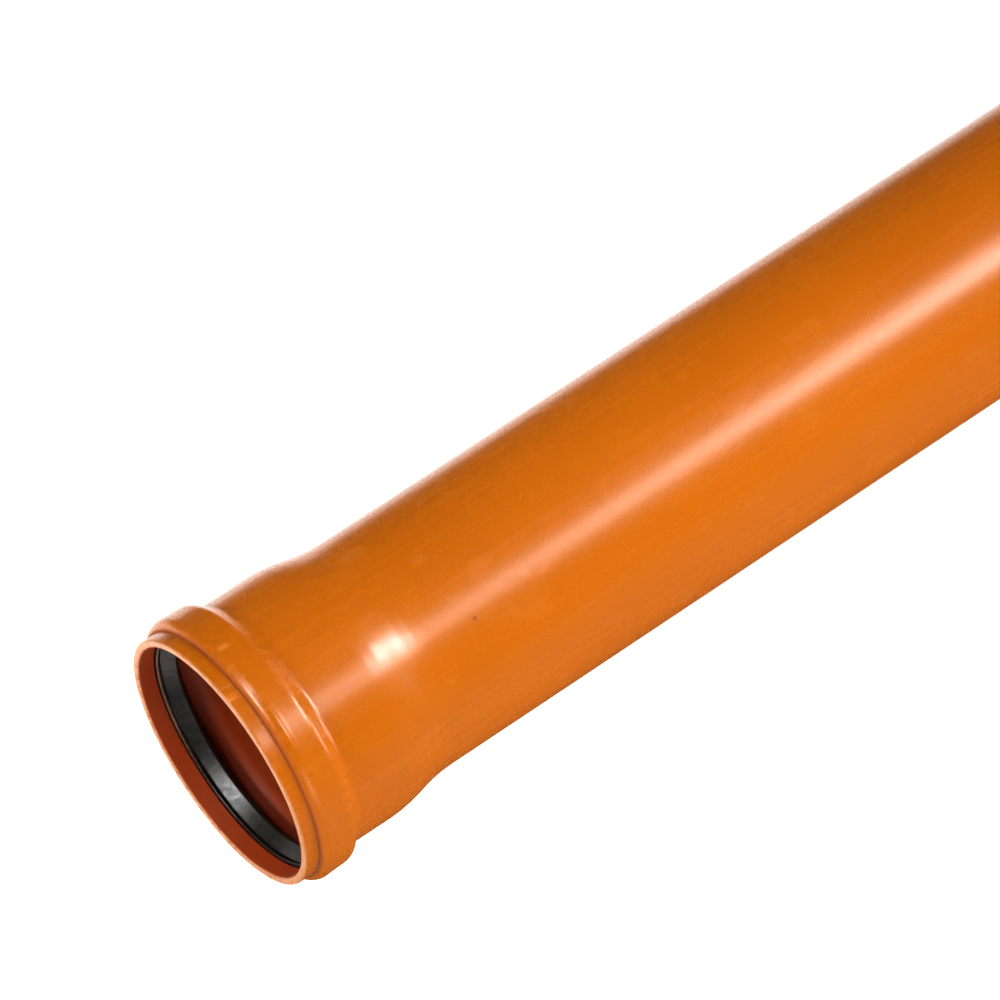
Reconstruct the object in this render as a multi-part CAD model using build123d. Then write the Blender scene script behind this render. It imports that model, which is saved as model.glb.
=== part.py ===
# Push-fit drain pipe, nominal diameter 110, laid on a level floor.
# One extruded PVC-U pipe with its socket formed in one piece, and the rubber lip seal in the socket.
# Millimetres. Each section is drawn with x along the pipe from the socket's mouth and y as the radius.

import os
from math import asin, atan2, cos, degrees, hypot, radians, tan

from build123d import *

# Pipe
pipe_diameter = 110.0
wall = 3.2
laying_length = 1000.0
chamfer_length = 6.0
chamfer_angle = radians(15)

# Socket: radial steps
socket_play = 1.6
mouth_step = 0.75
lip_wall = 3.8
bead_rise = 5.35
bead_fall = 0.4

# Socket: lengths along the outside, from corner to corner
lip_length = 7.2
bead_front_run = 2.4
bead_width = 14.1
bead_rear_run = 5.6
barrel_length = 31.0
cone_run = 20.0

# Socket: rounded corners
mouth_round = 1.2
lip_foot_round = 0.8
bead_round = 3.6
bead_foot_round = 5.0
lip_back_round = 1.0
cone_curved_share = 0.8

# Sealing ring
seal_clearance = 0.1
seal_setback = 0.3
seal_axial_play = 1.0
seal_base = 2.4
seal_edge_rise = 1.5
seal_edge_width = 1.0
seal_edge_bevel = 0.3
seal_valley_run = 1.2
seal_valley_depth = 1.1
seal_lip_run = 5.6
seal_lip_land = 1.2
seal_lip_squeeze = 2.4
seal_tip_depth = 1.0
seal_root_run = 1.7

# Radii
pipe_r = pipe_diameter / 2
bore_r = pipe_r - wall
barrel_bore_r = pipe_r + socket_play
barrel_r = barrel_bore_r + wall
lip_bore_r = barrel_bore_r + mouth_step
lip_r = lip_bore_r + lip_wall
bead_r = barrel_r + bead_rise
bead_back_r = bead_r - bead_fall

# Corners of the outer face, along the pipe
bead_start = lip_length + bead_front_run
bead_end = bead_start + bead_width
barrel_start = bead_end + bead_rear_run
cone_start = barrel_start + barrel_length
cone_end = cone_start + cone_run

# The cone flows into the barrel and into the pipe by long curves, with a straight stretch between them
cone_slope = atan2(barrel_r - pipe_r, cone_run)
cone_round = cone_curved_share * hypot(barrel_r - pipe_r, cone_run) / 2 / tan(cone_slope / 2)


def inset(before, corner, after, depth):
    """The corner of a section's upper side, moved inwards so that both its faces move by depth."""
    here = Vector(*corner)
    normals = [
        Vector(step.Y, -step.X)
        for step in ((here - Vector(*before)).normalized(), (Vector(*after) - here).normalized())
    ]
    moved = here + (normals[0] + normals[1]) * (depth / (1 + normals[0].dot(normals[1])))
    return moved.X, moved.Y


def turned(corners):
    """Solid of revolution about the X axis, from corners given as x, radius and rounding."""
    with BuildPart() as body:
        with BuildSketch(Plane.XZ):
            with BuildLine():
                FilletPolyline(
                    *[(x, r) for x, r, rounding in corners],
                    radius=[rounding for x, r, rounding in corners],
                    close=True,
                )
            make_face()
        revolve(axis=Axis.X)
    return body.part


# The formed socket has an even wall: its inner corners follow from the outer ones
socket_outside = [
    (lip_length, lip_r),
    (bead_start, bead_r),
    (bead_end, bead_back_r),
    (barrel_start, barrel_r),
    (cone_start, barrel_r),
    (cone_end, pipe_r),
    (cone_end + laying_length, pipe_r),
]
groove_front, groove_back, barrel_bore_start, barrel_bore_end, bore_start = [
    inset(*three, wall) for three in zip(socket_outside, socket_outside[1:], socket_outside[2:])
]

# The lip's bore runs up to the groove's front flank
front_slope = atan2(bead_r - lip_r, bead_front_run)
lip_bore_end = (groove_front[0] - (groove_front[1] - lip_bore_r) / tan(front_slope), lip_bore_r)

# A pushed-in spigot stops where the cone's bore has narrowed to its size
insertion_depth = barrel_bore_end[0] + socket_play / tan(cone_slope)
length = laying_length + insertion_depth
spigot_edge = length - chamfer_length

# Pipe with its socket
pipe_section = [
    (0, lip_r, mouth_round),
    (lip_length, lip_r, lip_foot_round),
    (bead_start, bead_r, bead_round),
    (bead_end, bead_back_r, bead_round),
    (barrel_start, barrel_r, bead_foot_round),
    (cone_start, barrel_r, cone_round),
    (cone_end, pipe_r, cone_round),
    (spigot_edge, pipe_r, 0),
    (length, pipe_r - chamfer_length * tan(chamfer_angle), 0),
    (length, bore_r, 0),
    (*bore_start, cone_round + wall),
    (*barrel_bore_end, cone_round - wall),
    (*barrel_bore_start, bead_foot_round + wall),
    (*groove_back, 0),
    (*groove_front, 0),
    (*lip_bore_end, lip_back_round),
    (0, lip_bore_r, mouth_round),
]
pipe = turned(pipe_section)

# Sealing ring: its base fills the groove, its bevelled front edge shows past the mouth's lip,
# and its long lip slants inwards to grip the spigot
seal_front = lip_bore_end[0] + seal_setback
seal_rear = groove_back[0] - seal_axial_play
seal_edge_r = lip_bore_r - seal_edge_rise
seal_edge_end = seal_front + seal_edge_width
seal_valley = seal_edge_end + seal_valley_run
seal_land_start = seal_valley + seal_lip_run
seal_land_end = seal_land_start + seal_lip_land
seal_grip_r = pipe_r - seal_lip_squeeze

# The base keeps its clearance from the groove's front flank and floor
seal_shoulder = inset(lip_bore_end, groove_front, groove_back, seal_clearance)
seal_nose_r = seal_shoulder[1] - (seal_shoulder[0] - seal_front) * tan(front_slope)
seal_back_r = seal_shoulder[1] - (seal_rear - seal_shoulder[0]) * bead_fall / bead_width

seal_section = [
    (seal_front, seal_edge_r + seal_edge_bevel),
    (seal_front, seal_nose_r),
    seal_shoulder,
    (seal_rear, seal_back_r),
    (seal_rear, seal_back_r - seal_base),
    (seal_valley + seal_root_run, seal_back_r - seal_base),
    (seal_land_end, seal_grip_r + seal_tip_depth),
    (seal_land_end, seal_grip_r),
    (seal_land_start, seal_grip_r),
    (seal_valley, seal_edge_r + seal_valley_depth),
    (seal_edge_end, seal_edge_r + seal_edge_bevel),
    (seal_edge_end - seal_edge_bevel, seal_edge_r),
    (seal_front + seal_edge_bevel, seal_edge_r),
]
sealing_ring = turned([(x, r, 0) for x, r in seal_section])

# The pipe lies on its bead's rounded front edge and on the edge of its spigot's chamfer
crown_slope = atan2(bead_fall, bead_width)
round_run = bead_round * tan((front_slope + crown_slope) / 2)
rest_x = bead_start + round_run * cos(crown_slope) - bead_round * crown_slope
rest_r = bead_r - bead_round
lay_tilt = atan2(rest_r - pipe_r, spigot_edge - rest_x) + asin(
    bead_round / hypot(rest_r - pipe_r, spigot_edge - rest_x)
)

# Laid down: the spigot end sinks to the floor, and the origin goes to the middle of the base
laid = Rot(Y=degrees(lay_tilt))
box = (laid * pipe).bounding_box()
resting = Pos(-box.center().X, -box.center().Y, -box.min.Z) * laid

os.makedirs("parts", exist_ok=True)
for name, piece in {"pipe": pipe, "sealing_ring": sealing_ring}.items():
    export_step(resting * piece, f"parts/{name}.step")
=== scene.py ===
"""Push-fit drain pipe, nominal diameter 110, lying on a pale studio floor.

The pipe and its lip seal are turned again from the part's own section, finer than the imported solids,
with the small things a formed plastic pipe has: a raised line on the bead with a knock in it, a slightly
uneven wall, a taper that leans a little, and softened edges. Sections are in millimetres, x along the
pipe from the socket's mouth and y as the radius. Angles go round the pipe from its top, -Y side first.
Everything placed in the scene is in metres.
"""

from math import asin, atan2, ceil, cos, hypot, pi, radians, sin, tan

import bpy
import numpy as np
from mathutils import Matrix, Vector


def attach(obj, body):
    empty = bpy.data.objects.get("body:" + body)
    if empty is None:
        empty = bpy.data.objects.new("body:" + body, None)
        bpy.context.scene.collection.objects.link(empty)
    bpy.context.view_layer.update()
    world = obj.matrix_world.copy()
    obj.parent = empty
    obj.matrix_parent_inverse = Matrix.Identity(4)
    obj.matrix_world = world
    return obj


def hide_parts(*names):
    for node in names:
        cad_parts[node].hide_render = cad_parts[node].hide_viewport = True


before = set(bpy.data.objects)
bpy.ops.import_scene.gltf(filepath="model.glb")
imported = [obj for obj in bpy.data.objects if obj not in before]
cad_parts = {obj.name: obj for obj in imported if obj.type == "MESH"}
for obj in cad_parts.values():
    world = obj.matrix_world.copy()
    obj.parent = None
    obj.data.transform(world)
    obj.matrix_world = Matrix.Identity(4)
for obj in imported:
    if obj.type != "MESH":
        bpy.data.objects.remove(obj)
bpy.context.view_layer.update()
scene = bpy.context.scene

# Driving sizes of the pipe, as in the part
PIPE_DIAMETER = 110.0
WALL = 3.2
LAYING_LENGTH = 1000.0
CHAMFER_LENGTH = 6.0
CHAMFER_ANGLE = radians(15)

# Driving sizes of the socket: radial steps, then lengths along the outside from corner to corner
SOCKET_PLAY = 1.6
MOUTH_STEP = 0.75
LIP_WALL = 3.8
BEAD_RISE = 5.35
BEAD_FALL = 0.4
LIP_LENGTH = 7.2
BEAD_FRONT_RUN = 2.4
BEAD_WIDTH = 14.1
BEAD_REAR_RUN = 5.6
BARREL_LENGTH = 31.0
CONE_RUN = 20.0

# Driving sizes of the seal
SEAL_CLEARANCE = 0.1
SEAL_SETBACK = 0.3
SEAL_AXIAL_PLAY = 1.0
SEAL_BASE = 2.4
SEAL_EDGE_RISE = 1.5
SEAL_EDGE_WIDTH = 1.0
SEAL_VALLEY_RUN = 1.2
SEAL_VALLEY_DEPTH = 1.1
SEAL_LIP_RUN = 5.6
SEAL_LIP_LAND = 1.2
SEAL_LIP_SQUEEZE = 2.4
SEAL_TIP_DEPTH = 1.0
SEAL_ROOT_RUN = 1.7

# Roundings as in the part, then the softer ones that only this finer surface has
MOUTH_ROUND = 1.2
LIP_FOOT_ROUND = 0.8
LIP_BACK_ROUND = 1.0
BEAD_ROUND = 3.6
BEAD_FOOT_ROUND = 5.0
CONE_CURVED_SHARE = 0.8
BEAD_FRONT_SOFT = 4.6
BEAD_REAR_SOFT = 5.0
SPIGOT_EDGE_SOFT = 1.5
SPIGOT_END_SOFT = 0.35

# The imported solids' facets lie a little inside their true surface. The fine surface stays inside them:
# its outside lies this far inwards all round, and its rim this far behind the mouth's plane
SKIN = 0.085
MOUTH_SKIN = 0.003

# Fine raised line round the bead, and the stretch of crown that lies a little lower beside it
RIDGE_X = 13.4
RIDGE_REACH = 1.25
RIDGE_HEIGHT = 0.12
CROWN_DROP = 0.13
CROWN_START = 11.9
CROWN_STEP = 0.45
CROWN_END = 24.5
CROWN_FADE = 2.0

# Small knock in the raised line
KNOCK_X = 13.0
KNOCK_ANGLE = -11.2
KNOCK_DEPTH = 0.3
KNOCK_ALONG = 1.1
KNOCK_ROUND = 0.8

# Waves of the wall: height, how many go round, turn for each mm along, and start
PIPE_WAVES = ((0.020, 2, 0.004, 0.6), (0.012, 3, -0.011, 2.1), (0.010, 5, 0.017, 4.0), (0.008, 2, 0.021, 1.3))
SOCKET_WAVES = ((0.018, 4, 0.09, 1.0), (0.014, 7, -0.13, 0.4), (0.012, 3, 0.21, 5.1))
SOCKET_WAVES_END = 85.0
SOCKET_WAVES_FADE = 8.0
SPIGOT_FADE = 20.0

# Lean of the taper: how far along the pipe it moves the wall, on which side most, and on what stretch
LEAN = 3.2
LEAN_ANGLE = radians(-18)
LEAN_START = 42.0
LEAN_RISE = 14.0
LEAN_END = 104.0
LEAN_FALL = 20.0

# How finely the pieces are turned: steps all round, closer ones to both sides of the knock's middle,
# and the least step kept, in radians. Then the stretch of the socket that is divided finer, in mm
SEGMENTS = 288
CLOSE_STEPS = 10
CLOSE_STEP = 0.0053
LEAST_STEP = 0.001
FINE_START = 1.0
FINE_END = 34.0
FINE_STEP = 0.6

# Reach of the painted shade line at the lip's foot, of the painted reflection on the rim and of the painted
# reflection on the seal's front edge
FOOT_SHADE_X = LIP_LENGTH + 0.1
FOOT_SHADE_REACH = 0.55
RIM_END = 0.96
RIM_FADE = 0.8
CREST_REACH = 0.3

pipe_r = PIPE_DIAMETER / 2
bore_r = pipe_r - WALL
barrel_bore_r = pipe_r + SOCKET_PLAY
barrel_r = barrel_bore_r + WALL
lip_bore_r = barrel_bore_r + MOUTH_STEP
lip_r = lip_bore_r + LIP_WALL
bead_r = barrel_r + BEAD_RISE
bead_back_r = bead_r - BEAD_FALL
bead_start = LIP_LENGTH + BEAD_FRONT_RUN
bead_end = bead_start + BEAD_WIDTH
barrel_start = bead_end + BEAD_REAR_RUN
cone_start = barrel_start + BARREL_LENGTH
cone_end = cone_start + CONE_RUN
cone_slope = atan2(barrel_r - pipe_r, CONE_RUN)
cone_round = CONE_CURVED_SHARE * hypot(barrel_r - pipe_r, CONE_RUN) / 2 / tan(cone_slope / 2)


def inset(before, corner, after, depth):
    """The corner of the outer line, moved inwards so that both its runs move by depth."""
    b, c, a = (np.array(p, float) for p in (before, corner, after))
    normals = []
    for step in (c - b, a - c):
        step = step / np.linalg.norm(step)
        normals.append(np.array([step[1], -step[0]]))
    return c + (normals[0] + normals[1]) * depth / (1 + normals[0] @ normals[1])


outside = [
    (LIP_LENGTH, lip_r),
    (bead_start, bead_r),
    (bead_end, bead_back_r),
    (barrel_start, barrel_r),
    (cone_start, barrel_r),
    (cone_end, pipe_r),
    (cone_end + LAYING_LENGTH, pipe_r),
]
groove_front, groove_back, barrel_bore_start, barrel_bore_end, bore_start = (
    inset(*three, WALL) for three in zip(outside, outside[1:], outside[2:])
)
front_slope = atan2(bead_r - lip_r, BEAD_FRONT_RUN)
lip_bore_end = (groove_front[0] - (groove_front[1] - lip_bore_r) / tan(front_slope), lip_bore_r)
length = LAYING_LENGTH + barrel_bore_end[0] + SOCKET_PLAY / tan(cone_slope)
spigot_edge = length - CHAMFER_LENGTH

# Corners as x, radius and rounding
pipe_corners = [
    (0, lip_r, MOUTH_ROUND),
    (LIP_LENGTH, lip_r, LIP_FOOT_ROUND),
    (bead_start, bead_r, BEAD_FRONT_SOFT),
    (bead_end, bead_back_r, BEAD_REAR_SOFT),
    (barrel_start, barrel_r, BEAD_FOOT_ROUND),
    (cone_start, barrel_r, cone_round),
    (cone_end, pipe_r, cone_round),
    (spigot_edge, pipe_r, SPIGOT_EDGE_SOFT),
    (length, pipe_r - CHAMFER_LENGTH * tan(CHAMFER_ANGLE), SPIGOT_END_SOFT),
    (length, bore_r, SPIGOT_END_SOFT),
    (*bore_start, cone_round + WALL),
    (*barrel_bore_end, cone_round - WALL),
    (*barrel_bore_start, BEAD_FOOT_ROUND + WALL),
    (*groove_back, 0.0),
    (*groove_front, 0.0),
    (*lip_bore_end, LIP_BACK_ROUND),
    (0, lip_bore_r, MOUTH_ROUND),
]

# Lip seal, with its moulded edges rounded
seal_front = lip_bore_end[0] + SEAL_SETBACK
seal_rear = groove_back[0] - SEAL_AXIAL_PLAY
seal_edge_r = lip_bore_r - SEAL_EDGE_RISE
seal_edge_end = seal_front + SEAL_EDGE_WIDTH
seal_valley = seal_edge_end + SEAL_VALLEY_RUN
seal_land_start = seal_valley + SEAL_LIP_RUN
seal_land_end = seal_land_start + SEAL_LIP_LAND
seal_grip_r = pipe_r - SEAL_LIP_SQUEEZE
seal_shoulder = inset(lip_bore_end, groove_front, groove_back, SEAL_CLEARANCE)
seal_nose_r = seal_shoulder[1] - (seal_shoulder[0] - seal_front) * tan(front_slope)
seal_back_r = seal_shoulder[1] - (seal_rear - seal_shoulder[0]) * BEAD_FALL / BEAD_WIDTH
seal_corners = [
    (seal_front, seal_edge_r, 0.45),
    (seal_front, seal_nose_r, 0.2),
    (*seal_shoulder, 0.2),
    (seal_rear, seal_back_r, 0.2),
    (seal_rear, seal_back_r - SEAL_BASE, 0.4),
    (seal_valley + SEAL_ROOT_RUN, seal_back_r - SEAL_BASE, 0.8),
    (seal_land_end, seal_grip_r + SEAL_TIP_DEPTH, 0.2),
    (seal_land_end, seal_grip_r, 0.3),
    (seal_land_start, seal_grip_r, 0.5),
    (seal_valley, seal_edge_r + SEAL_VALLEY_DEPTH, 0.6),
    (seal_edge_end, seal_edge_r, 0.45),
]

# Laid down as the part is: on its bead's front rounding and on its spigot's edge
crown_slope = atan2(BEAD_FALL, BEAD_WIDTH)
round_run = BEAD_ROUND * tan((front_slope + crown_slope) / 2)
rest_x = bead_start + round_run * cos(crown_slope) - BEAD_ROUND * crown_slope
rest_r = bead_r - BEAD_ROUND
lay_tilt = atan2(rest_r - pipe_r, spigot_edge - rest_x) + asin(
    BEAD_ROUND / hypot(rest_r - pipe_r, spigot_edge - rest_x)
)

# Centre of the mouth in metres. The scene's origin is under the middle of the part's box
MOUTH_X = -0.533237
MOUTH = Vector((MOUTH_X, 0.0, (spigot_edge * sin(lay_tilt) + pipe_r * cos(lay_tilt)) / 1000))
LAID = Matrix.Translation(MOUTH) @ Matrix.Rotation(lay_tilt, 4, "Y")

# A line within the wall all along the pipe: tells the outer face from the inner one
MID_X = [0, LIP_LENGTH, bead_start, bead_end, barrel_start, cone_start, cone_end, length]
MID_R = [
    *[lip_r - LIP_WALL / 2] * 2,
    *[bead_r - BEAD_FALL - WALL / 2] * 2,
    *[barrel_r - WALL / 2] * 2,
    *[pipe_r - WALL / 2] * 2,
]


def is_outer(x, r):
    """Whether a point lies on the wall's outer side."""
    return r > np.interp(x, MID_X, MID_R)


def rising(x, start, run):
    """0 up to start, then up to 1 over the run."""
    return np.clip((x - start) / run, 0, 1)


def falling(x, end, run):
    """0 from end on, and down to it from 1 over the run."""
    return np.clip((end - x) / run, 0, 1)


def section(corners, arc_step=radians(9), support=0.5, run=22.0):
    """Points of a closed section: corners rounded, a close point beside each rounding, long runs divided."""
    pts = []
    for i, (x, r, rounding) in enumerate(corners):
        here = np.array([x, r], float)
        before = np.array(corners[i - 1][:2], float)
        after = np.array(corners[(i + 1) % len(corners)][:2], float)
        u, v = here - before, after - here
        u, v = u / np.linalg.norm(u), v / np.linalg.norm(v)
        if rounding <= 0:
            pts.append(here)
            continue
        turn = atan2(u[0] * v[1] - u[1] * v[0], u @ v)
        start = here - u * rounding * tan(abs(turn) / 2)
        arm = np.array([u[1], -u[0]]) * (rounding if turn > 0 else -rounding)
        steps = max(3, ceil(abs(turn) / arc_step))
        for k in range(steps + 1):
            c, s = cos(turn * k / steps), sin(turn * k / steps)
            pts.append(start - arm + np.array([arm[0] * c - arm[1] * s, arm[0] * s + arm[1] * c]))
    out = []
    for i, a in enumerate(pts):
        b = pts[(i + 1) % len(pts)]
        gap = np.linalg.norm(b - a)
        out.append(a)
        if gap > 4 * support:
            unit = (b - a) / gap
            parts = max(1, ceil((gap - 2 * support) / run))
            out += [a + unit * (support + (gap - 2 * support) * k / parts) for k in range(parts + 1)]
    return np.array(out)


def finer(points, start, end, step):
    """The section with its outer line between start and end divided to steps of at most this length."""
    out = []
    for a, b in zip(points, np.roll(points, -1, 0)):
        divided = is_outer(*a) and is_outer(*b) and a[0] >= start and b[0] <= end
        parts = ceil(np.linalg.norm(b - a) / step) if divided else 1
        out += [a + (b - a) * k / parts for k in range(parts)]
    return np.array(out)


def waves(x, a, kinds):
    """Height of all these waves together."""
    return sum(height * np.sin(around * a + along * x + start) for height, around, along, start in kinds)


def unevenness(x, a):
    """How far the formed wall stands in or out: long soft waves, more in the socket, none at the chamfer."""
    in_socket = 1 / (1 + np.exp((x - SOCKET_WAVES_END) / SOCKET_WAVES_FADE))
    wave = waves(x, a, PIPE_WAVES) + waves(x, a, SOCKET_WAVES) * in_socket
    return wave * falling(x, spigot_edge, SPIGOT_FADE)


def ridge(x):
    """The fine raised line round the bead's crown. The crown on both its sides lies a little lower."""
    d = np.clip((x - RIDGE_X) / RIDGE_REACH, -1, 1)
    on_crown = rising(x, CROWN_START, CROWN_STEP) * falling(x, CROWN_END, CROWN_FADE)
    return on_crown * (RIDGE_HEIGHT / 2 * (1 + np.cos(pi * d)) - CROWN_DROP)


def knock(x, a):
    """Depth of the small knock in the bead's raised line."""
    arc = (a - radians(KNOCK_ANGLE) + pi) % (2 * pi) - pi
    return KNOCK_DEPTH * np.exp(-(((x - KNOCK_X) / KNOCK_ALONG) ** 2) - (arc * bead_r / KNOCK_ROUND) ** 2)


def askew(x, a):
    """How far the formed taper stands from its even place along the pipe."""
    lean = LEAN * rising(x, LEAN_START, LEAN_RISE) * falling(x, LEAN_END, LEAN_FALL)
    return lean * np.cos(a - LEAN_ANGLE)


def turning_angles():
    """Angles at which a section is set to turn it: even steps all round, and closer ones at the knock."""
    even = np.arange(SEGMENTS) * 2 * pi / SEGMENTS
    close = radians(KNOCK_ANGLE) % (2 * pi) + np.arange(-CLOSE_STEPS, CLOSE_STEPS + 1) * CLOSE_STEP
    angles = np.sort(np.append(even, close))
    return angles[np.append(True, np.diff(angles) > LEAST_STEP)]


def turned(name, points):
    """A ring turned about the pipe's axis from a closed section, laid in the scene."""
    angles = turning_angles()
    count, n = len(angles), len(points)
    a, x = np.meshgrid(angles, points[:, 0], indexing="ij")
    r = np.repeat(points[:, 1][None], count, 0)
    outer = is_outer(x, r)
    r = r + unevenness(x, a) + (ridge(x) - knock(x, a) - SKIN) * outer
    x = np.maximum(x + askew(x, a), MOUTH_SKIN)
    verts = np.stack([x, -r * np.sin(a), r * np.cos(a)], -1).reshape(-1, 3) / 1000
    i, k = np.meshgrid(np.arange(count), np.arange(n), indexing="ij")
    j, m = (i + 1) % count, (k + 1) % n
    faces = np.stack([i * n + k, i * n + m, j * n + m, j * n + k], -1).reshape(-1, 4)
    mesh = bpy.data.meshes.new(name)
    mesh.from_pydata(verts.tolist(), [], faces.tolist())
    mesh.transform(LAID)
    mesh.update()
    mesh.shade_smooth()
    shares = {
        "inside": ~outer,
        "rim": falling(x, RIM_END, RIM_FADE),
        # foot: where the painted shade line at the lip's foot lies
        "foot": np.exp(-(((x - FOOT_SHADE_X) / FOOT_SHADE_REACH) ** 2)) * outer,
        # crest: where the painted reflection on the seal's front edge lies
        "crest": np.exp(-(((r - seal_edge_r) / CREST_REACH) ** 4)) * (x < seal_edge_end + CREST_REACH),
    }
    for key, share in shares.items():
        mesh.attributes.new(key, "FLOAT", "POINT").data.foreach_set("value", share.astype(np.float32).ravel())
    piece = bpy.data.objects.new(name, mesh)
    scene.collection.objects.link(piece)
    return piece


# Colours of the pipe and of its wear, the darker red painted inside as painted shade, the painted reflection
# on the rim and the painted shade at the lip's foot
ORANGE_DEEP = (0.560, 0.158, 0.0005, 1)
ORANGE_CLEAR = (0.600, 0.174, 0.0010, 1)
INSIDE_PAINTED_SHADE = (0.44, 0.066, 0.0012, 1)
SCUFFED = (0.68, 0.26, 0.035, 1)
SCRATCHED = (0.78, 0.34, 0.08, 1)
KNOCKED = (0.86, 0.34, 0.07, 1)
SPECK_BROWN = (0.30, 0.07, 0.004, 1)
RIM_PAINTED_REFLECTION = (0.66, 0.33, 0.17, 1)
FOOT_PAINTED_SHADE = (0.30, 0.055, 0.0003, 1)

# Colours of the rubber, and the painted reflection on its front edge
RUBBER_BLACK = (0.006, 0.0045, 0.003, 1)
RUBBER_FILM = (0.015, 0.012, 0.009, 1)
EDGE_PAINTED_REFLECTION = (0.30, 0.20, 0.12, 1)

# Marks as x, angle in degrees and radius of their middle, then their reach along the pipe and across it
WIDE_SCUFF = (89, -25, pipe_r, 9, 6)
SMALL_SCUFF = (108, -1.4, pipe_r, 4, 3)
LIP_SCRATCHES = (3.8, 5.5, lip_r, 6, 8.5)
KNOCK_MARK = (14, KNOCK_ANGLE, bead_r, 4.5, 2.3)
SPECK = (113.2, 35, pipe_r, 1.6, 1.4)
SEAL_EDGE_REFLECTION = (9, -105, 56, 10, 55)

# Roughness of both materials, and how much more of it there is on wear, inside and at the lip's foot
PLASTIC_ROUGH = 0.22
RUBBER_ROUGH = 0.30
WEAR_ROUGH = 0.2
INSIDE_ROUGH = 0.32
FOOT_ROUGH = 0.6


def material(name):
    mat = bpy.data.materials.new(name)
    mat.use_nodes = True
    mat.node_tree.nodes.clear()
    return mat, mat.node_tree


def node(tree, kind, inputs=None, **settings):
    """A shader node with its settings and inputs; an input that is a socket gets a link."""
    made = tree.nodes.new("ShaderNode" + kind)
    for key, value in settings.items():
        setattr(made, key, value)
    for key, value in (inputs or {}).items():
        if isinstance(value, bpy.types.NodeSocket):
            tree.links.new(value, made.inputs[key])
        else:
            made.inputs[key].default_value = value
    return made


def add(tree, a, b):
    return node(tree, "Math", {0: a, 1: b}, operation="ADD").outputs[0]


def times(tree, a, b):
    return node(tree, "Math", {0: a, 1: b}, operation="MULTIPLY").outputs[0]


def most(tree, a, b):
    return node(tree, "Math", {0: a, 1: b}, operation="MAXIMUM").outputs[0]


def blend(tree, factor, a, b, share=None):
    """A colour from a to b by the factor, or by this share of it."""
    if share is not None:
        factor = times(tree, factor, share)
    # The inputs 6 and 7 are the node's two colours
    return node(tree, "Mix", {0: factor, 6: a, 7: b}, data_type="RGBA").outputs[2]


def painted(tree, key):
    """What the piece's mesh holds under this name, from 0 to 1."""
    return node(tree, "Attribute", attribute_name=key).outputs["Fac"]


def pipe_place(tree):
    """Coordinates of the pipe itself, in metres: x from the mouth, y and z across."""
    here = node(tree, "TexCoord").outputs["Object"]
    place = {"Vector": here, "Location": MOUTH, "Rotation": (0, lay_tilt, 0)}
    return node(tree, "Mapping", place, vector_type="TEXTURE").outputs[0]


def noise(tree, at, along, across, detail=3.0, rough=0.5, low=0.35, high=0.65):
    """Noise from 0 to 1, with so many features a metre along the pipe and across it."""
    scaled = node(tree, "Mapping", {"Vector": at, "Scale": (along, across, across)}).outputs[0]
    made = node(tree, "TexNoise", {"Vector": scaled, "Scale": 1.0, "Detail": detail, "Roughness": rough})
    spread = {"Value": made.outputs[0], "From Min": low, "From Max": high}
    return node(tree, "MapRange", spread).outputs[0]


def near(tree, at, mark):
    """1 in the middle of a mark, falling softly to 0 at its reach."""
    x, angle, r, along, across = mark
    middle = (x / 1000, -r * sin(radians(angle)) / 1000, r * cos(radians(angle)) / 1000)
    per_reach = (1000 / along, 1000 / across, 1000 / across)
    off = node(tree, "VectorMath", {0: at, 1: middle}, operation="SUBTRACT").outputs[0]
    off = node(tree, "VectorMath", {0: off, 1: per_reach}, operation="MULTIPLY").outputs[0]
    far = node(tree, "VectorMath", {0: off}, operation="LENGTH").outputs["Value"]
    spread = {"Value": far, "From Min": 1.0, "From Max": 0.2}
    return node(tree, "MapRange", spread, interpolation_type="SMOOTHSTEP").outputs[0]


def relief(tree, height, strength, depth, under=None):
    """Normals of a bump so many millimetres deep, laid over the one under it."""
    inputs = {"Strength": strength, "Distance": depth / 1000, "Height": height}
    if under is not None:
        inputs["Normal"] = under
    return node(tree, "Bump", inputs).outputs[0]


def finish_material(tree, inputs):
    shader = node(tree, "BsdfPrincipled", inputs)
    out = node(tree, "OutputMaterial")
    tree.links.new(shader.outputs[0], out.inputs[0])


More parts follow.
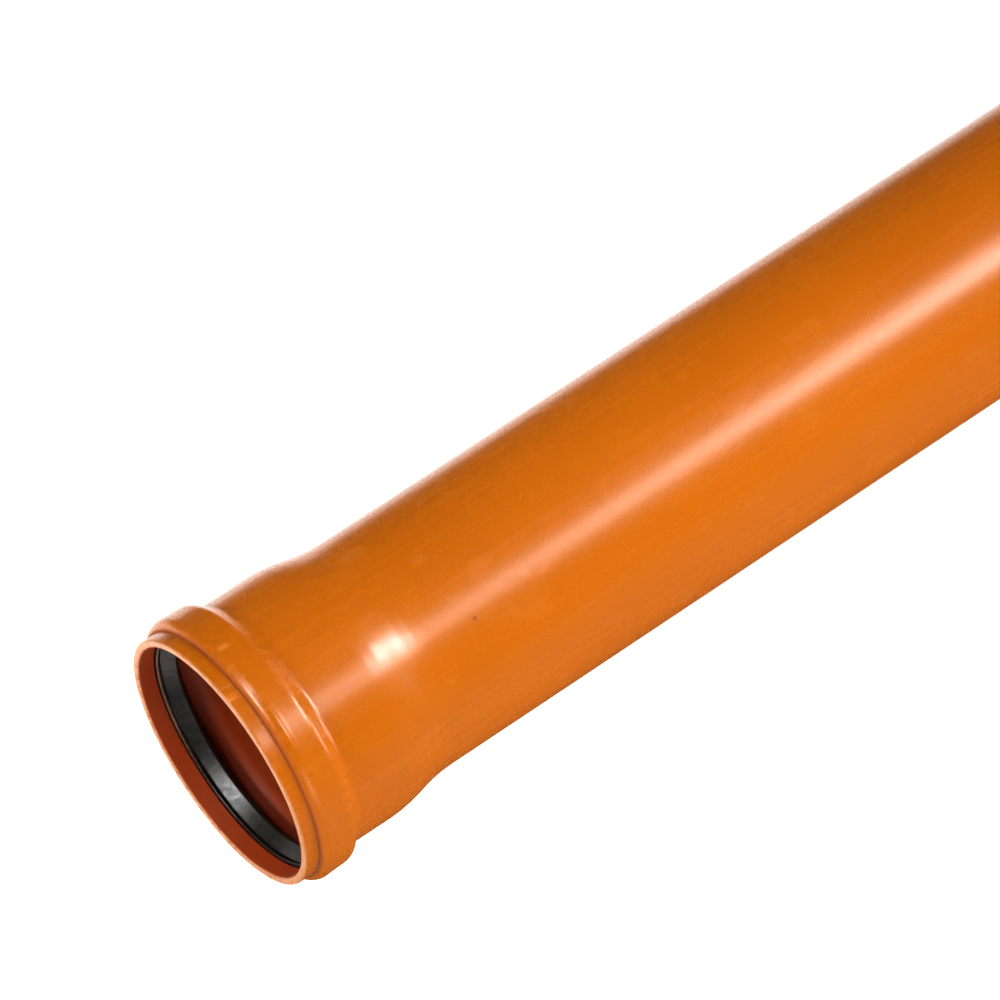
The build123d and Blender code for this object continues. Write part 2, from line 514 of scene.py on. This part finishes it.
def pipe_plastic():
    """Glossy orange plastic: cloudy, finely lined along the pipe, with its wear, a darker red painted inside
    as painted shade, a painted reflection on the rim and painted shade at the lip's foot.
    """
    mat, tree = material("pipe_plastic_look")
    at = pipe_place(tree)
    inner, rim, foot = (painted(tree, key) for key in ("inside", "rim", "foot"))
    clouds = noise(tree, at, 10, 14, detail=2.0)
    streaks = noise(tree, at, 5, 170)
    lines = noise(tree, at, 14, 900, detail=2.0)
    grain = noise(tree, at, 1500, 1500, detail=2.0)
    tone = add(tree, times(tree, clouds, 0.65), times(tree, streaks, 0.35))
    colour = blend(tree, tone, ORANGE_DEEP, ORANGE_CLEAR)
    # Darker red on the inner wall: painted shade of the pipe's inside
    colour = blend(tree, inner, colour, INSIDE_PAINTED_SHADE)

    # Pale scuffs and rubbed patches, then the lip's scratches, the knock and a dark speck
    patchy = noise(tree, at, 180, 260, low=0.3, high=0.6)
    rubbed = noise(tree, at, 26, 70, detail=4.0, rough=0.6, low=0.60, high=0.75)
    scuffs = add(tree, near(tree, at, WIDE_SCUFF), near(tree, at, SMALL_SCUFF))
    scuffs = most(tree, scuffs, times(tree, rubbed, 0.35))
    colour = blend(tree, times(tree, scuffs, patchy), colour, SCUFFED, share=0.45)
    strokes = noise(tree, at, 110, 1100, detail=2.0, low=0.50, high=0.60)
    strokes = times(tree, strokes, near(tree, at, LIP_SCRATCHES))
    colour = blend(tree, strokes, colour, SCRATCHED, share=0.55)
    colour = blend(tree, near(tree, at, KNOCK_MARK), colour, KNOCKED, share=0.8)
    colour = blend(tree, near(tree, at, SPECK), colour, SPECK_BROWN)

    # Painted reflection on the rim, made patchy, and the painted shade line at the lip's foot
    rim_patchiness = noise(tree, at, 300, 300, low=0.2, high=0.5)
    colour = blend(tree, times(tree, rim, rim_patchiness), colour, RIM_PAINTED_REFLECTION)
    # Painted shade in the corner at the lip's foot
    colour = blend(tree, foot, colour, FOOT_PAINTED_SHADE, share=0.9)

    rough = add(tree, times(tree, streaks, 0.05), add(tree, times(tree, grain, 0.04), PLASTIC_ROUGH))
    dull = times(tree, most(tree, scuffs, rim), WEAR_ROUGH)
    dull = most(tree, dull, times(tree, inner, INSIDE_ROUGH))
    dull = most(tree, dull, times(tree, foot, FOOT_ROUGH))
    rough = add(tree, rough, dull)
    fine = relief(tree, lines, 0.35, 0.01)
    peel = relief(tree, grain, 0.4, 0.01, under=fine)
    scored = relief(tree, strokes, 0.6, 0.08, under=peel)
    finish_material(tree, {
        "Base Color": colour, "Roughness": rough, "Normal": scored, "Specular IOR Level": 0.7,
    })
    return mat


def seal_rubber():
    """Black rubber with a thin film, smears and a painted reflection along its front edge."""
    mat, tree = material("seal_rubber_look")
    at = pipe_place(tree)
    film = noise(tree, at, 60, 60)
    smears = noise(tree, at, 260, 420, detail=4.0, rough=0.6)
    grain = noise(tree, at, 1800, 1800, detail=2.0)
    colour = blend(tree, film, RUBBER_BLACK, RUBBER_FILM)
    # Painted reflection along the seal's front edge, broken up by the smears
    edge_reflection = times(tree, painted(tree, "crest"), near(tree, at, SEAL_EDGE_REFLECTION))
    edge_reflection = times(tree, edge_reflection, add(tree, times(tree, smears, 0.6), 0.4))
    colour = blend(tree, edge_reflection, colour, EDGE_PAINTED_REFLECTION)
    rough = add(tree, times(tree, smears, 0.16), RUBBER_ROUGH)
    wavy = relief(tree, smears, 0.5, 0.08)
    grained = relief(tree, grain, 0.4, 0.02, under=wavy)
    finish_material(tree, {
        "Base Color": colour, "Roughness": rough, "Normal": grained, "Specular IOR Level": 1.0,
    })
    return mat


pipe = turned("pipe_turned", finer(section(pipe_corners), FINE_START, FINE_END, FINE_STEP))
seal = turned("sealing_ring_turned", section(seal_corners, arc_step=radians(15), support=0.25))
for piece, cad_node, slot, look in (
    (pipe, "pipe", "pipe_plastic", pipe_plastic()),
    (seal, "sealing_ring", "seal_rubber", seal_rubber()),
):
    piece.data.materials.append(look)
    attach(piece, "root")
    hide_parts(cad_node)

# Floor, in strips that look the same: only the one beside the pipe's far side shows in its gloss
FLOOR_REACH = 40.0
BESIDE_WIDTH = 0.28
STRIPS = (
    ("floor_near", -FLOOR_REACH, 0.0),
    ("floor_beside", 0.0, BESIDE_WIDTH),
    ("floor_far", BESIDE_WIDTH, FLOOR_REACH),
)
floor_look, floor_tree = material("floor_look")
finish_material(floor_tree, {
    "Base Color": (0.88, 0.88, 0.88, 1), "Roughness": 0.85, "Specular IOR Level": 0.2,
    "Emission Color": (1, 1, 1, 1), "Emission Strength": 0.55,
})
for name, low, high in STRIPS:
    mesh = bpy.data.meshes.new(name)
    corners = [(-FLOOR_REACH, low, 0), (FLOOR_REACH, low, 0), (FLOOR_REACH, high, 0), (-FLOOR_REACH, high, 0)]
    mesh.from_pydata(corners, [], [(0, 1, 2, 3)])
    mesh.materials.append(floor_look)
    strip = bpy.data.objects.new(name, mesh)
    scene.collection.objects.link(strip)
    strip.visible_glossy = name == "floor_beside"

# World: a faint warm glow from all round
WORLD_COLOUR = (1.0, 0.99, 0.97, 1)
WORLD_STRENGTH = 0.06
world = bpy.data.worlds.new("studio")
scene.world = world
world.use_nodes = True
background = world.node_tree.nodes["Background"]
background.inputs["Color"].default_value = WORLD_COLOUR
background.inputs["Strength"].default_value = WORLD_STRENGTH


# Lights: their strength is per area, so a larger one gives more light and shows as bright in the gloss
def aimed(name, lamp, place, aim):
    """Puts a lamp in the scene, facing aim, its first side along the pipe."""
    light = bpy.data.objects.new(name, lamp)
    z = (Vector(place) - Vector(aim)).normalized()
    x = (Vector((1, 0, 0)) - z * z.x).normalized()
    light.matrix_world = Matrix.Translation(place) @ Matrix((x, z.cross(x), z)).transposed().to_4x4()
    light.visible_camera = False
    scene.collection.objects.link(light)


def gridded_light(name, place, aim, radius, strength, cone):
    """A round soft light whose beam is held to a cone, in degrees, so that only the socket's end gets it."""
    lamp = bpy.data.lights.new(name, "SPOT")
    lamp.shadow_soft_size = radius
    lamp.energy = strength * 4 * pi * pi * radius * radius
    lamp.spot_size = radians(cone)
    lamp.spot_blend = 1.0
    aimed(name, lamp, place, aim)


def soft_light(name, place, aim, size, strength):
    """A rectangular soft box, its size given along the pipe and across it."""
    lamp = bpy.data.lights.new(name, "AREA")
    lamp.shape = "RECTANGLE"
    lamp.size, lamp.size_y = size
    lamp.energy = strength * pi * size[0] * size[1]
    aimed(name, lamp, place, aim)


BEAD_TOP = (-0.522, -0.011, 0.128)
SOCKET_MIDDLE = (-0.52, 0, 0.1)
soft_light("key", place=(1.24, -0.80, 1.76), aim=(-0.46, -0.025, 0.117), size=(0.46, 0.80), strength=16.5)
soft_light("band_pipe", place=(0.835, -1.10, 1.93), aim=(-0.25, -0.02, 0.1), size=(0.71, 0.56), strength=7)
soft_light("band_socket", place=(0.08, -1.135, 2.0), aim=(-0.5, -0.02, 0.1), size=(0.24, 0.5), strength=7.5)
soft_light("side_fill", place=(2.7, -1.5, 0.85), aim=(0, 0, 0.1), size=(1.6, 1.0), strength=5.5)
soft_light("front_card", place=(-1.6, -2.5, 0.45), aim=SOCKET_MIDDLE, size=(1.6, 0.8), strength=2.2)
soft_light("far_fill", place=(2.9, 0.5, 1.6), aim=(-0.1, 0, 0.1), size=(1.8, 1.8), strength=1.2)
soft_light("mouth_side", place=(-2.45, 0.25, 1.22), aim=SOCKET_MIDDLE, size=(0.75, 0.65), strength=14)
gridded_light("mouth_arc_high", place=(-0.86, 0.28, 2.38), aim=BEAD_TOP, radius=0.40, strength=28, cone=11)
gridded_light("mouth_arc_low", place=(-1.66, 0.33, 2.10), aim=BEAD_TOP, radius=0.38, strength=26, cone=11)

# Camera: it looks down by its elevation, on a heading that goes from +X towards +Y, both in degrees
CAMERA_PLACE = (-1.445961, -1.356409, 2.785412)
CAMERA_ELEVATION = 57.0387
CAMERA_HEADING = 51.8724
LENS = 268.927
SENSOR_WIDTH = 36.0
camera = bpy.data.objects.new("camera", bpy.data.cameras.new("camera"))
scene.collection.objects.link(camera)
scene.camera = camera
camera.data.lens = LENS
camera.data.sensor_width = SENSOR_WIDTH
camera.data.clip_end = 200
camera.location = CAMERA_PLACE
camera.rotation_euler = (radians(90 - CAMERA_ELEVATION), 0, radians(CAMERA_HEADING - 90))
scene.view_settings.view_transform = "Standard"
scene.view_settings.exposure = 0.46
scene.view_settings.gamma = 0.8
